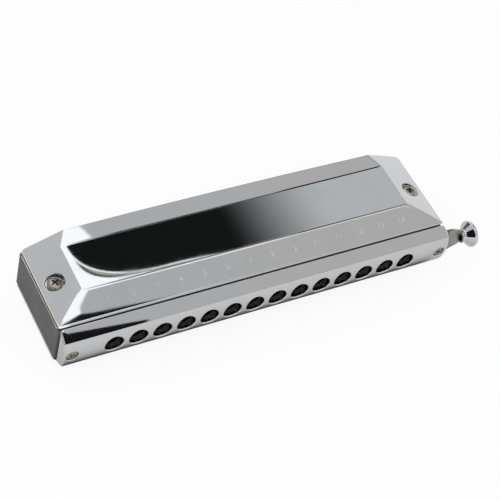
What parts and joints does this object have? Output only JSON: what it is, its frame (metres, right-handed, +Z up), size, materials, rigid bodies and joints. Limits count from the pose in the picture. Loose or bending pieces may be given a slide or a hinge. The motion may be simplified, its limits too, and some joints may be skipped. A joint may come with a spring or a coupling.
{
  "type": "chromatic harmonica",
  "caption": "Long mouth organ with chromed pressed covers, a bar mouthpiece with a row of round holes, and a sprung slide button at its right end.",
  "frame": {"origin": "middle of the bounding box at its bottom, under the instrument lying on its lower cover", "axes": "+X along the hole row from the low notes towards the slide button, +Y from the mouthpiece towards the open back, +Z up through the upper cover"},
  "size_m": [0.1726, 0.0428, 0.0319],
  "materials": {
    "chrome": "mirror polished plating",
    "brass": "satin rolled sheet",
    "screw_nickel": "warm nickel plating",
    "slide_steel": "satin plated",
    "comb_plastic": "fine matte moulding",
    "silicone": "soft matte"
  },
  "bodies": {
    "instrument": {"comb": "comb_plastic", "upper_reed_plate": "brass", "lower_reed_plate": "brass", "upper_plate_screw_1": "screw_nickel", "upper_plate_screw_2": "screw_nickel", "upper_plate_screw_3": "screw_nickel", "upper_plate_screw_4": "screw_nickel", "upper_plate_screw_5": "screw_nickel", "upper_plate_screw_6": "screw_nickel", "upper_plate_screw_7": "screw_nickel", "upper_plate_screw_8": "screw_nickel", "lower_plate_screw_1": "screw_nickel", "lower_plate_screw_2": "screw_nickel", "lower_plate_screw_3": "screw_nickel", "lower_plate_screw_4": "screw_nickel", "lower_plate_screw_5": "screw_nickel", "lower_plate_screw_6": "screw_nickel", "lower_plate_screw_7": "screw_nickel", "lower_plate_screw_8": "screw_nickel", "upper_cover": "chrome", "lower_cover": "chrome", "cover_screw_left": "screw_nickel", "cover_screw_right": "screw_nickel", "cover_nut_left": "screw_nickel", "cover_nut_right": "screw_nickel", "mouthpiece": "chrome", "mouthpiece_screw_left": "screw_nickel", "mouthpiece_screw_right": "screw_nickel", "slide_back_plate": "brass", "slide_guide": "brass", "slide_bumper_left": "silicone", "slide_bumper_right": "silicone", "return_spring": "slide_steel", "spring_pin": "slide_steel"},
    "button_slide": {"slide": "slide_steel", "slide_button": "chrome"}
  },
  "joints": [
    {"name": "slide_press", "type": "slide", "parent": "instrument", "child": "button_slide", "axis": [-1, 0, 0], "range_m": [0, 0.0046], "stiffness_N_per_m": 250, "springref_m": -0.004, "deforming": ["return_spring"]}
  ]
}
